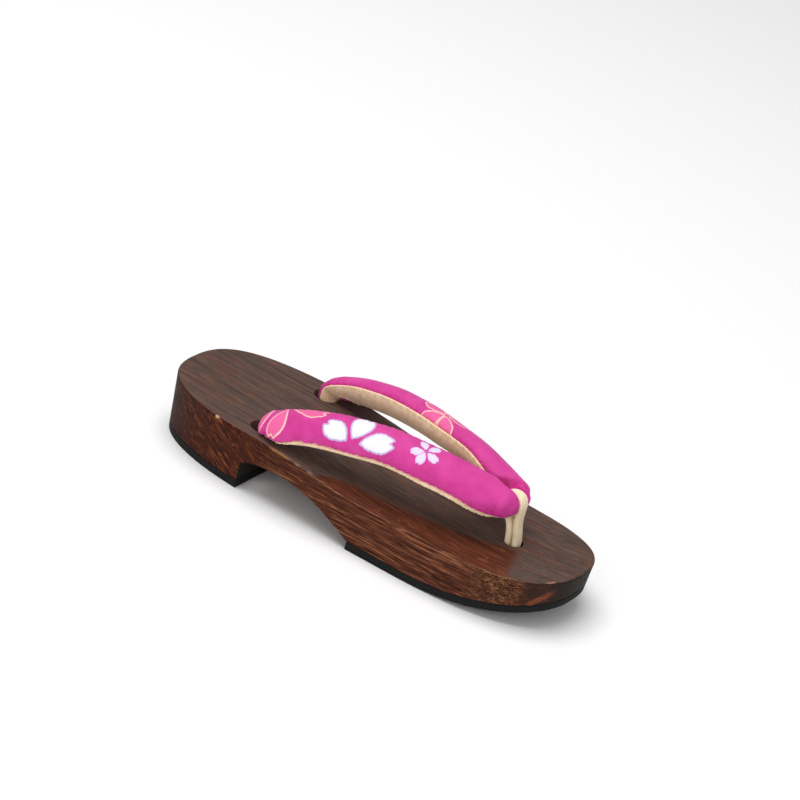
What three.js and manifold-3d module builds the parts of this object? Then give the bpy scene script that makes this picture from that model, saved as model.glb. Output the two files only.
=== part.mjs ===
// A geta sandal: a carved wooden base on rubber outsoles, a padded cloth strap and its front thong.
// Millimetres, Z up, floor at z = 0. The toe points along -Y and the outline is centred on x = 0.
import * as THREE from 'three';
import { mergeVertices } from 'three/addons/utils/BufferGeometryUtils.js';
import Module from 'manifold-3d';

const wasm = await Module();
wasm.setup();

// Driving sizes of the wooden base. Distances "along" run from the heel end to the toe end.
const baseLength = 240;
const baseWidth = 83;
const heelHeight = 33.9;
const ballHeight = 24.6;
const toeSpring = 12;
const springLength = 75;
const endRound = 70;
const endRoundPower = 2.6;
const heelBlockLength = 63.4;
const foreBlockLength = 108;
const archHeight = 19.1;
const heelDraft = 0.15;
const toeDraft = 0.055;
const draftLength = 75;
const heelUndercut = 0.8;
const toeUndercut = 1.2;
const crispEdge = 1.2;
const softEdge = 3.6;
const softEdgeStart = 0.3;
const softEdgeSpan = 0.55;
const outlineSteps = 15;
const archSteps = 14;

// Driving sizes of the outsoles
const rubberThickness = 4.4;

// Driving sizes of the strap holes
const rearHoleAlong = 64.6;
const rearHoleInset = 12.5;
const rearHoleRadius = 6.6;
const rearHoleLean = 6;
const frontHoleFromToe = 39.9;
const frontHoleRadius = 4.7;
const holeSides = 20;

// Driving sizes of the padded strap
const strapFrontBehindHole = 1.5;
const strapWidth = 21;
const strapThickness = 15;
const strapRise = 25;
const stationsPerRow = 3;
const arcSteps = 10;

// Driving sizes of the front thong
const thongWidth = 6.6;
const thongThickness = 3.3;
const thongStemThickness = 6.8;
const thongEdgeRound = 1.1;
const thongEdgeSteps = 2;
const thongNeckFront = 5.4;
const thongNeckRear = 0.4;
const thongEndClearance = 2;
const openingHalfLength = 3.5;
const openingHalfHeight = 4.7;
const openingBehindHole = 5.9;
const openingRise = 18.7;
const openingTilt = 8;
const openingSteps = 28;

// Clearance between pieces that meet, how far each strap arm passes the middle to join the other, how far
// a cut runs past the piece that it cuts, and the distance within which points of a mesh are one
const gap = 0.3;
const joinOverlap = 0.05;
const cutMargin = 1;
const weldDistance = 1e-4;

// Top of the base: each row is a place along the base, as a share of its length. Step is the share of
// the drop from heel to ball that is left there, and lift is the share of the toe spring.
const topRows = [
  { along: 0.0, step: 1.0, lift: 0 },
  { along: 0.167, step: 0.85, lift: 0 },
  { along: 0.292, step: 0.82, lift: 0 },
  { along: 0.417, step: 0.6, lift: 0 },
  { along: 0.542, step: 0.29, lift: 0 },
  { along: 0.667, step: 0.12, lift: 0 },
  { along: 0.792, step: 0.0, lift: 0 },
  { along: 0.896, step: 0.0, lift: 0.085 },
  { along: 1.0, step: 0.0, lift: 0.275 },
];

// Roof of the arch: along is the share of the span between the two blocks, height that of the arch height.
const archRows = [
  { along: 0.0, height: 0.8 },
  { along: 0.167, height: 0.97 },
  { along: 0.333, height: 1.0 },
  { along: 0.5, height: 0.935 },
  { along: 0.667, height: 0.79 },
  { along: 0.833, height: 0.53 },
];

// One strap arm from inside its rear hole to its rounded front end. Along is the share of the reach from
// hole to front end, out that of the hole's distance from the middle, up that of the strap's rise over
// the wood, wide and thick those of the full section. Tilt turns the outer edge down and turn swings the
// section towards the toe, in degrees. Seam is where the lining starts, as a share of half the thickness.
const strapRows = [
  { along: 0.04, out: 0.98, up: -0.43, wide: 0.42, thick: 0.56, tilt: 20, turn: -8, seam: 0 },
  { along: 0.022, out: 0.99, up: -0.17, wide: 0.5, thick: 0.56, tilt: 22, turn: -8, seam: 0 },
  { along: 0.013, out: 1.0, up: 0.015, wide: 0.62, thick: 0.56, tilt: 25, turn: -8, seam: 0 },
  { along: 0.015, out: 1.03, up: 0.12, wide: 0.76, thick: 0.62, tilt: 28, turn: -8, seam: 0 },
  { along: 0.03, out: 1.07, up: 0.205, wide: 0.88, thick: 0.72, tilt: 30, turn: -6, seam: 0 },
  { along: 0.059, out: 1.11, up: 0.275, wide: 0.93, thick: 0.82, tilt: 30, turn: -3, seam: 0 },
  { along: 0.107, out: 1.13, up: 0.37, wide: 0.95, thick: 0.88, tilt: 30, turn: 2, seam: 0 },
  { along: 0.203, out: 1.035, up: 0.58, wide: 0.95, thick: 0.97, tilt: 30, turn: 9, seam: 0 },
  { along: 0.352, out: 0.9, up: 0.82, wide: 1.01, thick: 1.04, tilt: 30, turn: 11, seam: 0 },
  { along: 0.522, out: 0.71, up: 0.98, wide: 1.0, thick: 1.05, tilt: 30, turn: 12, seam: 0 },
  { along: 0.693, out: 0.56, up: 1.0, wide: 1.0, thick: 0.97, tilt: 29, turn: 13, seam: 0 },
  { along: 0.841, out: 0.365, up: 0.92, wide: 1.02, thick: 1.01, tilt: 24, turn: 15, seam: -0.1 },
  { along: 0.935, out: 0.205, up: 0.85, wide: 0.88, thick: 1.06, tilt: 15, turn: 14, seam: -0.36 },
  { along: 0.978, out: 0.18, up: 0.815, wide: 0.64, thick: 0.9, tilt: 10, turn: 13, seam: -0.5 },
  { along: 1.0, out: 0.19, up: 0.8, wide: 0.34, thick: 0.44, tilt: 10, turn: 13, seam: -0.5 },
];

// Places that follow from the sizes above
const halfLength = baseLength / 2;
const halfWidth = baseWidth / 2;
const springStart = baseLength - springLength;
const foreBlockStart = baseLength - foreBlockLength;
const rearHoleOut = halfWidth - rearHoleInset;
const frontHoleAlong = baseLength - frontHoleFromToe;
const strapFrontAlong = frontHoleAlong - strapFrontBehindHole;
const openingAlong = frontHoleAlong - openingBehindHole;
const openingLean = THREE.MathUtils.degToRad(openingTilt);

// Slopes that keep a run of values from overshooting: the harmonic mean of the steps on each side.
function steadySlopes(places, values) {
  const steps = values.slice(1).map((value, i) => (value - values[i]) / (places[i + 1] - places[i]));
  return values.map((_, i) => {
    const before = steps[Math.max(i - 1, 0)];
    const after = steps[Math.min(i, steps.length - 1)];
    return before * after <= 0 ? 0 : (2 * before * after) / (before + after);
  });
}

// A smooth curve through the rows of one column.
function smoothColumn(places, values) {
  const slopes = steadySlopes(places, values);
  return (place) => {
    let i = 0;
    while (i < places.length - 2 && place > places[i + 1]) i += 1;
    const span = places[i + 1] - places[i];
    const t = THREE.MathUtils.clamp((place - places[i]) / span, 0, 1);
    const rise = t * t * (3 - 2 * t);
    const leave = t * (1 - t) * (1 - t) * slopes[i] * span;
    const arrive = t * t * (1 - t) * slopes[i + 1] * span;
    return values[i] + (values[i + 1] - values[i]) * rise + leave - arrive;
  };
}

function columnAlong(rows, name) {
  return smoothColumn(rows.map((row) => row.along), rows.map((row) => row[name]));
}

// A vertical lift, from the floor, of the sole's underside: flat, then rising as a square to the toe.
function groundHeight(along) {
  const past = Math.max(along - springStart, 0) / springLength;
  return toeSpring * past * past;
}

const stepShare = columnAlong(topRows, 'step');
const liftShare = columnAlong(topRows, 'lift');

function topHeight(along) {
  const share = along / baseLength;
  return ballHeight + (heelHeight - ballHeight) * stepShare(share) + toeSpring * liftShare(share);
}

const openingHeight = topHeight(frontHoleAlong) + openingRise;
const thongEndHeight = groundHeight(frontHoleAlong) + rubberThickness + thongEndClearance;

// The edge of the top is crisp at both ends and softly rounded beside the arch and the ball.
function edgeRadius(along) {
  const share = THREE.MathUtils.clamp((along / baseLength - softEdgeStart) / softEdgeSpan, 0, 1);
  return crispEdge + (softEdge - crispEdge) * Math.sin(Math.PI * share) ** 2;
}

function place(x, along, z) {
  return new THREE.Vector3(x, halfLength - along, z);
}

function toManifold(geometry) {
  const bare = geometry.clone();
  bare.deleteAttribute('normal');
  bare.deleteAttribute('uv');
  const merged = mergeVertices(bare, weldDistance);
  const mesh = new wasm.Mesh({
    numProp: 3,
    vertProperties: new Float32Array(merged.attributes.position.array),
    triVerts: new Uint32Array(merged.index.array),
  });
  return new wasm.Manifold(mesh);
}

// A closed solid through rings of equal count. Its two ends are filled by strips between the two halves
// of the ring, so an end may be any surface that is straight from side to side.
function ringGeometry(rings) {
  const count = rings[0].length;
  const points = rings.flat();
  const index = [];
  for (let r = 0; r < rings.length - 1; r += 1) {
    for (let i = 0; i < count; i += 1) {
      const a = r * count + i;
      const b = r * count + ((i + 1) % count);
      index.push(a, b, b + count, a, b + count, a + count);
    }
  }
  const strip = (first, flip) => {
    for (let i = 0; i < count / 2; i += 1) {
      const corners = [i, i + 1, count - i - 1, (count - i) % count].map((k) => first + k);
      for (const [a, b, c] of [[corners[0], corners[1], corners[2]], [corners[0], corners[2], corners[3]]]) {
        if (a !== b && b !== c && c !== a) index.push(...(flip ? [a, c, b] : [a, b, c]));
      }
    }
  };
  strip(0, true);
  strip((rings.length - 1) * count, false);
  const geometry = new THREE.BufferGeometry();
  geometry.setAttribute('position', new THREE.Float32BufferAttribute(points.flatMap((p) => p.toArray()), 3));
  geometry.setIndex(index);
  return geometry;
}

// The same form on the other side of the foot, with its faces turned to point out again.
function mirrored(geometry) {
  const other = geometry.clone().scale(-1, 1, 1);
  const corners = other.index.array;
  for (let i = 0; i < corners.length; i += 3) {
    [corners[i], corners[i + 1]] = [corners[i + 1], corners[i]];
  }
  return other;
}

// A flat outline of points (along, height) carried straight across the foot, centred on the middle.
function acrossFoot(shape, width, round = 0) {
  const geometry = new THREE.ExtrudeGeometry(shape, {
    depth: width - 2 * round,
    bevelEnabled: round > 0,
    bevelThickness: round,
    bevelSize: round,
    bevelOffset: -round,
    bevelSegments: thongEdgeSteps,
  });
  const turn = new THREE.Matrix4().makeBasis(
    new THREE.Vector3(0, -1, 0),
    new THREE.Vector3(0, 0, 1),
    new THREE.Vector3(-1, 0, 0),
  );
  geometry.translate(0, 0, -(width - 2 * round) / 2);
  geometry.applyMatrix4(turn);
  geometry.translate(0, halfLength, 0);
  return toManifold(geometry);
}

function outlineShape(corners) {
  return new THREE.Shape(corners.map(([along, height]) => new THREE.Vector2(along, height)));
}

// A block between two places along the base and two heights.
function blockAcross(from, to, low, high, width) {
  return acrossFoot(outlineShape([[from, low], [to, low], [to, high], [from, high]]), width);
}

// A block over the +X side of the foot, from just past the middle outwards.
function sideBlock() {
  const reach = heelHeight + 2 * strapRise;
  return new THREE.BoxGeometry(baseWidth, baseLength, 2 * reach).translate(halfWidth - joinOverlap, 0, 0);
}

// A round rod between two points.
function rod(start, end, radius) {
  const direction = end.clone().sub(start);
  const geometry = new THREE.CylinderGeometry(radius, radius, direction.length(), holeSides);
  const upright = new THREE.Vector3(0, 1, 0);
  geometry.applyQuaternion(new THREE.Quaternion().setFromUnitVectors(upright, direction.normalize()));
  const middle = start.clone().add(end).multiplyScalar(0.5);
  geometry.translate(middle.x, middle.y, middle.z);
  return toManifold(geometry);
}

// Places round the outline from the heel tip, up the +X side, to the toe tip. Each end follows a
// superellipse, where distance into the end and half width add up to one in the power endRoundPower.
function outlineSide() {
  const end = [];
  for (let i = 0; i <= outlineSteps; i += 1) {
    const angle = (i / outlineSteps) * (Math.PI / 2);
    const into = endRound * (1 - Math.cos(angle) ** (2 / endRoundPower));
    end.push([halfWidth * Math.sin(angle) ** (2 / endRoundPower), into]);
  }
  const straight = baseLength - 2 * endRound;
  const middle = [];
  for (let i = 1; i < outlineSteps; i += 1) {
    middle.push([halfWidth, endRound + (straight * i) / outlineSteps]);
  }
  const toe = end.map(([x, into]) => [x, baseLength - into]).reverse();
  return [...end, ...middle, ...toe];
}

// The whole outline with the outward direction at each place, counter-clockwise seen from above.
function outline() {
  const side = outlineSide();
  const other = side.slice(1, -1).reverse().map(([x, along]) => [-x, along]);
  const round = [...side, ...other].reverse();
  return round.map(([x, along], i) => {
    const before = round[(i + round.length - 1) % round.length];
    const after = round[(i + 1) % round.length];
    const run = new THREE.Vector2(after[0] - before[0], before[1] - after[1]).normalize();
    return { x, along, outX: run.y, outAlong: run.x };
  });
}

// A ring round the base. Share runs from the floor outline at 0 to the top outline at 1, and inset pulls
// the ring inwards. The floor outline is narrower at both ends, as the block is drawn in towards the floor.
function baseRing(levelAt, insetAt) {
  return baseOutline.map((spot) => {
    const top = topHeight(spot.along);
    const ground = groundHeight(spot.along);
    const z = levelAt(spot.along);
    const down = 1 - THREE.MathUtils.clamp((z - ground) / (top - ground), 0, 1);
    const nearHeel = Math.max(1 - spot.along / draftLength, 0);
    const nearToe = Math.max(1 - (baseLength - spot.along) / draftLength, 0);
    const narrow = 1 - down * (heelDraft * nearHeel + toeDraft * nearToe);
    const shift = down * (heelUndercut * nearHeel - toeUndercut * nearToe);
    const inset = insetAt(spot.along);
    return place(
      (spot.x - spot.outX * inset) * narrow,
      spot.along - spot.outAlong * inset + shift,
      z,
    );
  });
}

const baseOutline = outline();
baseOutline.unshift(baseOutline.pop());

// The base without its arch and holes, from a chosen level up to its rounded top edge.
function baseBody(bottomAt, raise) {
  const rings = [baseRing(bottomAt, () => 0)];
  for (const angle of [0, Math.PI / 6, Math.PI / 3, Math.PI / 2]) {
    rings.push(baseRing(
      (along) => topHeight(along) + raise - edgeRadius(along) * (1 - Math.sin(angle)),
      (along) => edgeRadius(along) * (1 - Math.cos(angle)),
    ));
  }
  return toManifold(ringGeometry(rings));
}

// The arch between the blocks, open to the floor.
function archCutter() {
  const span = foreBlockStart - heelBlockLength;
  const roofHeight = smoothColumn(
    [...archRows.map((row) => row.along), 1],
    [...archRows.map((row) => row.height * archHeight), rubberThickness],
  );
  const corners = [[heelBlockLength, -cutMargin]];
  for (let i = 0; i <= archSteps; i += 1) {
    const share = i / archSteps;
    corners.push([heelBlockLength + span * share, roofHeight(share)]);
  }
  corners.push([foreBlockStart, -cutMargin]);
  return acrossFoot(outlineShape(corners.reverse()), baseWidth + 2 * cutMargin);
}

// Holes for the strap ends, which lean forward to come out under the arch, and for the front thong.
function strapHoles(shrink) {
  const depth = heelHeight - archRows[0].height * archHeight;
  const [left, right] = [-1, 1].map((side) => rod(
    place(side * rearHoleOut, rearHoleAlong - rearHoleLean, heelHeight + depth),
    place(side * rearHoleOut, rearHoleAlong + 2 * rearHoleLean, heelHeight - 2 * depth),
    rearHoleRadius - shrink,
  ));
  const front = rod(
    place(0, frontHoleAlong, groundHeight(frontHoleAlong)),
    place(0, frontHoleAlong, openingHeight),
    frontHoleRadius - shrink,
  );
  return left.add(right).add(front);
}

function woodBase() {
  const body = baseBody((along) => groundHeight(along) + rubberThickness, 0);
  return body.subtract(archCutter()).subtract(strapHoles(0));
}

// A rubber outsole glued under one block, between two places along the base.
function outsole(from, to) {
  const sheet = toManifold(ringGeometry([
    baseRing(groundHeight, () => 0),
    baseRing((along) => groundHeight(along) + rubberThickness - gap, () => 0),
  ]));
  return sheet.intersect(blockAcross(from, to, -cutMargin, heelHeight, baseWidth + 2 * cutMargin));
}

// Stations along the +X strap arm, each with its centre and the directions of its width and thickness.
function strapStations() {
  const places = strapRows.map((_, i) => i);
  const columns = {};
  for (const name of Object.keys(strapRows[0])) {
    columns[name] = smoothColumn(places, strapRows.map((row) => row[name]));
  }
  const last = (strapRows.length - 1) * stationsPerRow;
  const slopeStep = 0.1;
  const centreAt = (t) => {
    const along = rearHoleAlong + columns.along(t) * (strapFrontAlong - rearHoleAlong);
    return place(columns.out(t) * rearHoleOut, along, topHeight(along) + columns.up(t) * strapRise);
  };
  const stations = [];
  for (let i = 0; i <= last; i += 1) {
    const t = i / stationsPerRow;
    const ahead = centreAt(Math.min(t + slopeStep, places.at(-1)));
    const forward = ahead.sub(centreAt(Math.max(t - slopeStep, 0))).normalize();
    const turn = THREE.MathUtils.degToRad(columns.turn(t));
    const outward = new THREE.Vector3(Math.cos(turn), -Math.sin(turn), 0);
    outward.addScaledVector(forward, -outward.dot(forward)).normalize();
    const upward = new THREE.Vector3().crossVectors(forward, outward);
    const tilt = THREE.MathUtils.degToRad(columns.tilt(t));
    stations.push({
      centre: centreAt(t),
      across: outward.clone().multiplyScalar(Math.cos(tilt)).addScaledVector(upward, -Math.sin(tilt)),
      through: outward.clone().multiplyScalar(Math.sin(tilt)).addScaledVector(upward, Math.cos(tilt)),
      halfWide: (columns.wide(t) * strapWidth) / 2,
      halfThick: (columns.thick(t) * strapThickness) / 2,
      seam: columns.seam(t),
    });
  }
  return stations;
}

// The +X arm's cover or lining: the part of the elliptical section above or below the seam. Its flat face
// lies at a chosen level over the seam.
function strapArm(above, level) {
  const rings = strapStations().map((station) => {
    const start = Math.asin(station.seam);
    const sweep = above ? Math.PI - 2 * start : Math.PI + 2 * start;
    const first = above ? start : Math.PI - start;
    const ring = [];
    for (let i = 0; i <= arcSteps; i += 1) {
      const angle = first + (sweep * i) / arcSteps;
      const onSeam = i === 0 || i === arcSteps;
      const high = station.halfThick * (onSeam ? station.seam : Math.sin(angle)) + (onSeam ? level : 0);
      ring.push(station.centre.clone()
        .addScaledVector(station.across, station.halfWide * Math.cos(angle))
        .addScaledVector(station.through, high));
    }
    return ring;
  });
  return ringGeometry(rings);
}

// An ellipse in the plane along the foot, tilted with its lower end towards the toe.
function thongEllipse(grow) {
  return new THREE.EllipseCurve(
    openingAlong,
    openingHeight,
    openingHalfLength + grow,
    openingHalfHeight + grow,
    0,
    2 * Math.PI,
    false,
    openingLean,
  ).getPoints(openingSteps).slice(0, -1);
}

// The thong: a band looped over the strap's joint, whose two ends run together down into the front hole.
function frontThong() {
  const loop = new THREE.Shape(thongEllipse(thongThickness));
  const ring = acrossFoot(loop, thongWidth, thongEdgeRound);
  const opening = acrossFoot(new THREE.Shape(thongEllipse(0)), thongWidth * 2);
  const mouth = topHeight(frontHoleAlong);
  const half = thongStemThickness / 2;
  const reach = openingHalfHeight + thongThickness / 2;
  const neckAlong = openingAlong + reach * Math.sin(openingLean);
  const neckHeight = openingHeight - reach * Math.cos(openingLean);
  const stem = acrossFoot(outlineShape([
    [frontHoleAlong - half, thongEndHeight],
    [frontHoleAlong + half, thongEndHeight],
    [frontHoleAlong + half, mouth],
    [neckAlong + thongNeckFront, neckHeight],
    [neckAlong - thongNeckRear, neckHeight],
    [frontHoleAlong - half, mouth],
  ]), thongWidth, thongEdgeRound);
  return ring.add(stem).subtract(opening);
}

// Room for the thong round the strap: all of its band except the opening that the strap runs through.
function thongRoom() {
  const reach = Math.hypot(
    (openingHalfLength + thongThickness) * Math.cos(openingLean),
    (openingHalfHeight + thongThickness) * Math.sin(openingLean),
  );
  const rear = openingAlong - reach - gap;
  const room = blockAcross(rear, baseLength, 0, 2 * openingHeight, thongWidth + 2 * gap);
  return room.subtract(acrossFoot(new THREE.Shape(thongEllipse(-gap)), thongWidth * 2));
}

// Both arms of the cover or of the lining, joined at the front.
function strapArms(above, level) {
  const arm = strapArm(above, level);
  const right = toManifold(mirrored(arm)).intersect(toManifold(mirrored(sideBlock())));
  return toManifold(arm).intersect(toManifold(sideBlock())).add(right);
}

// A strap piece is kept clear of the wood and of the thong.
function clearOfNeighbours(solid) {
  const wood = baseBody(groundHeight, gap).subtract(strapHoles(gap));
  return solid.subtract(wood).subtract(thongRoom());
}

function strapCover() {
  return clearOfNeighbours(strapArms(true, gap / 2));
}

function strapLining() {
  return clearOfNeighbours(strapArms(false, -gap / 2).subtract(strapArms(true, -gap / 2)));
}

function toGeometry(solid) {
  const mesh = solid.getMesh();
  const geometry = new THREE.BufferGeometry();
  geometry.setAttribute('position', new THREE.Float32BufferAttribute(mesh.vertProperties, 3));
  geometry.setIndex(Array.from(mesh.triVerts));
  geometry.computeVertexNormals();
  return geometry;
}

function piece(name, solid, color, roughness) {
  const material = new THREE.MeshStandardMaterial({ color, roughness, metalness: 0 });
  const mesh = new THREE.Mesh(toGeometry(solid), material);
  mesh.name = name;
  return mesh;
}

const sandal = new THREE.Group();
sandal.name = 'geta_sandal';
sandal.add(
  piece('wood_base', woodBase(), '#4a2e22', 0.6),
  piece('heel_outsole', outsole(-cutMargin, heelBlockLength), '#20241f', 0.85),
  piece('forefoot_outsole', outsole(foreBlockStart, baseLength + cutMargin), '#20241f', 0.85),
  piece('strap_cover', strapCover(), '#c8307f', 0.5),
  piece('strap_lining', strapLining(), '#d6bc90', 0.9),
  piece('front_thong', frontThong(), '#e0c898', 0.85),
);

export default sandal;
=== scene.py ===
"""A geta sandal on a pale floor: a burnt and brushed wooden base on rubber outsoles, with padded cloth
strap arms, their lining and a looped front thong. Shapes are worked out in millimetres and put into
their meshes in metres. "Along" is the distance from the heel end, so y = half the length - along."""

import math

import bmesh
import bpy
import numpy as np
from mathutils import Matrix, Vector


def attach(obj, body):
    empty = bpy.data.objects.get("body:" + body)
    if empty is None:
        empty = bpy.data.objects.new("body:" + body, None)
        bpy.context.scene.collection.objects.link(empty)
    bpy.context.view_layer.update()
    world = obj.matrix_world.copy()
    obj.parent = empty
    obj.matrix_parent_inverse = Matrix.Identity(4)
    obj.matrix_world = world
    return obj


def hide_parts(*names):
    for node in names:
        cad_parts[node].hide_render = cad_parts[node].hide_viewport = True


MM = 0.001
MATH = "ShaderNodeMath"
RAMP = "ShaderNodeValToRGB"
STORED = "ShaderNodeAttribute"
BUMP = "ShaderNodeBump"
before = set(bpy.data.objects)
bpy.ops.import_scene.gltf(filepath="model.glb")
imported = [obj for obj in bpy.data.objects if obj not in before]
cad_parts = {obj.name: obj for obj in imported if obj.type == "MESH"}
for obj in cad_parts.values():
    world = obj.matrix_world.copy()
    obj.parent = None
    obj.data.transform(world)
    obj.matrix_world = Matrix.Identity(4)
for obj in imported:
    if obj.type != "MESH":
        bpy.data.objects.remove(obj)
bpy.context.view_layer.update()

# Sizes of the wooden base, as the solids have them
LENGTH = 240.0
WIDTH = 83.0
HEEL_HEIGHT = 33.9
BALL_HEIGHT = 24.6
TOE_SPRING = 12.0
SPRING_START = 165.0
END_ROUND = 70.0
END_POWER = 2.6
HEEL_BLOCK = 63.4
FORE_BLOCK = 132.0
ARCH_HEIGHT = 19.1
HEEL_DRAFT = 0.15
TOE_DRAFT = 0.055
DRAFT_LENGTH = 75.0
HEEL_UNDERCUT = 0.8
TOE_UNDERCUT = 1.2
CRISP_EDGE = 1.2
SOFT_EDGE = 3.6
RUBBER = 4.4
GLUE_GAP = 0.15
EASED_EDGE = 0.4
RUBBER_EDGE = 0.5

# Crisp edges, in degrees, and how near two vertices are merged, in metres
CARVED_ANGLE = 38
CLOTH_ANGLE = 50
MERGE_WITHIN = 1e-6

# Strap holes
REAR_HOLE_ALONG = 64.6
REAR_HOLE_OUT = 29.0
REAR_HOLE_RADIUS = 6.6
REAR_HOLE_LEAN = 6.0
FRONT_HOLE_ALONG = 200.1
FRONT_HOLE_RADIUS = 4.7

# Padded strap
STRAP_FRONT = 198.6
STRAP_WIDTH = 21.0
STRAP_THICKNESS = 15.0
STRAP_RISE = 25.0
SEAM_GAP = 0.1
STATIONS = 420
COVER_STEPS = 62
LINING_STEPS = 40

# Front thong
THONG_WIDTH = 6.6
THONG_THICKNESS = 3.3
OPENING_HALF_LENGTH = 3.5
OPENING_HALF_HEIGHT = 4.7
OPENING_ALONG = 194.2
OPENING_HEIGHT = 43.53
OPENING_TILT = 8.0

# Top of the base, by share of the length: what is left of the drop to the ball, and the toe's lift
TOP_ALONG = np.array([0.0, 0.167, 0.292, 0.417, 0.542, 0.667, 0.792, 0.896, 1.0])
TOP_STEP = np.array([1.0, 0.85, 0.82, 0.6, 0.29, 0.12, 0.0, 0.0, 0.0])
TOP_LIFT = np.array([0.0, 0.0, 0.0, 0.0, 0.0, 0.0, 0.0, 0.085, 0.275])

# Roof of the arch, by share of the span between the blocks, as a share of the arch height
ARCH_ALONG = np.array([0.0, 0.167, 0.333, 0.5, 0.667, 0.833, 1.0])
ARCH_ROOF = np.array([0.8, 0.97, 1.0, 0.935, 0.79, 0.53, RUBBER / ARCH_HEIGHT])

# One strap arm, from inside its rear hole to its front end, with the columns of STRAP_COLUMNS
STRAP_COLUMNS = ("along", "out", "up", "wide", "thick", "tilt", "turn", "seam")
STRAP_ROWS = np.array([
    [0.04, 0.98, -0.43, 0.42, 0.56, 20, -8, 0],
    [0.022, 0.99, -0.17, 0.5, 0.56, 22, -8, 0],
    [0.013, 1.0, 0.015, 0.62, 0.56, 25, -8, 0],
    [0.015, 1.03, 0.12, 0.76, 0.62, 28, -8, 0],
    [0.03, 1.07, 0.205, 0.88, 0.72, 30, -6, 0],
    [0.059, 1.11, 0.275, 0.93, 0.82, 30, -3, 0],
    [0.107, 1.13, 0.37, 0.95, 0.88, 30, 2, 0],
    [0.203, 1.035, 0.58, 0.95, 0.97, 30, 9, 0],
    [0.352, 0.9, 0.82, 1.01, 1.04, 30, 11, 0],
    [0.522, 0.71, 0.98, 1.0, 1.05, 30, 12, 0],
    [0.693, 0.56, 1.0, 1.0, 0.97, 29, 13, 0],
    [0.841, 0.365, 0.92, 1.02, 1.01, 24, 15, -0.1],
    [0.935, 0.205, 0.85, 0.88, 1.06, 15, 14, -0.36],
    [0.978, 0.18, 0.815, 0.64, 0.9, 10, 13, -0.5],
    [1.0, 0.19, 0.8, 0.34, 0.44, 10, 13, -0.5],
])


# Camera, lights and floor
def aim_camera():
    """The photograph's view: a long lens turned round the sandal, rolled by the angle at which the
    photograph shows the floor, and aimed so that the sandal lies where it does in the 800 pixel frame."""
    azimuth, elevation, roll = (math.radians(a) for a in (-64.334, 27.983, 15.503))
    distance = 1.6427
    pixels_per_metre = 1996.0
    frame_side = 800
    middle = frame_side / 2
    target = Vector((0.0, 0.0, 0.020))
    target_pixel = (378.47, 479.46)
    back = Vector((
        math.sin(azimuth) * math.cos(elevation),
        -math.cos(azimuth) * math.cos(elevation),
        math.sin(elevation),
    ))
    level = (-back).cross(Vector((0, 0, 1))).normalized()
    upright = level.cross(-back)
    right = math.cos(roll) * level + math.sin(roll) * upright
    up = math.cos(roll) * upright - math.sin(roll) * level
    aim = target + (right * (middle - target_pixel[0]) + up * (target_pixel[1] - middle)) / pixels_per_metre
    place = target + back * distance
    away = (place - aim).normalized()
    right = (right - away * right.dot(away)).normalized()
    up = away.cross(right)
    data = bpy.data.cameras.new("photo_camera")
    data.sensor_width = 36.0
    data.lens = pixels_per_metre * distance / frame_side * data.sensor_width
    data.clip_start = 0.05
    data.clip_end = 20.0
    camera = bpy.data.objects.new("photo_camera", data)
    camera.matrix_world = Matrix((
        (right.x, up.x, away.x, place.x),
        (right.y, up.y, away.y, place.y),
        (right.z, up.z, away.z, place.z),
        (0, 0, 0, 1),
    ))
    bpy.context.collection.objects.link(camera)
    bpy.context.scene.camera = camera


def add_softbox(name, place, size, watts):
    """A square area light that faces the strap."""
    data = bpy.data.lights.new(name, "AREA")
    data.size = size
    data.energy = watts
    lamp = bpy.data.objects.new(name, data)
    lamp.location = place
    lamp.rotation_euler = (Vector((0, 0, 0.03)) - Vector(place)).to_track_quat("-Z", "Y").to_euler()
    bpy.context.collection.objects.link(lamp)


def light_studio():
    """Soft light: a large softbox overhead, two weaker ones at the near side and in front, and white air."""
    add_softbox("key_softbox", (-0.1, 0.35, 1.7), 1.3, 22.0)
    add_softbox("side_softbox", (-1.5, 0.0, 0.6), 1.1, 5.0)
    add_softbox("front_softbox", (-0.8, -1.4, 0.8), 1.0, 2.2)
    world = bpy.data.worlds.new("studio_air")
    world.use_nodes = True
    air = world.node_tree.nodes["Background"]
    air.inputs["Color"].default_value = linear("#FFFFFF")
    air.inputs["Strength"].default_value = 0.43
    bpy.context.scene.world = world
    bpy.context.scene.view_settings.view_transform = "Standard"


def lay_floor():
    half = 6.0
    corners = [(-half, -half, 0), (half, -half, 0), (half, half, 0), (-half, half, 0)]
    mesh = bpy.data.meshes.new("floor")
    mesh.from_pydata(corners, [], [(0, 1, 2, 3)])
    floor = bpy.data.objects.new("floor", mesh)
    bpy.context.collection.objects.link(floor)
    material = new_material("pale_painted_floor", "#FCFCFC")
    finish(material, {"Roughness": 0.9})
    mesh.materials.append(material)


# Colours and nodes
def linear(hexcode):
    """An sRGB hex colour as linear light: each channel c becomes ((c + 0.055) / 1.055) to the power 2.4."""
    channels = [int(hexcode[i:i + 2], 16) / 255 for i in (1, 3, 5)]
    out = [c / 12.92 if c <= 0.04045 else ((c + 0.055) / 1.055) ** 2.4 for c in channels]
    return (*out, 1.0)


def feed(material, node, inputs):
    """Gives each socket of a node, by name or number, what it takes: another node's output, a hex
    colour, a number or a vector."""
    for socket, value in inputs.items():
        if isinstance(value, bpy.types.NodeSocket):
            material.node_tree.links.new(value, node.inputs[socket])
        else:
            node.inputs[socket].default_value = linear(value) if isinstance(value, str) else value


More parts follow.
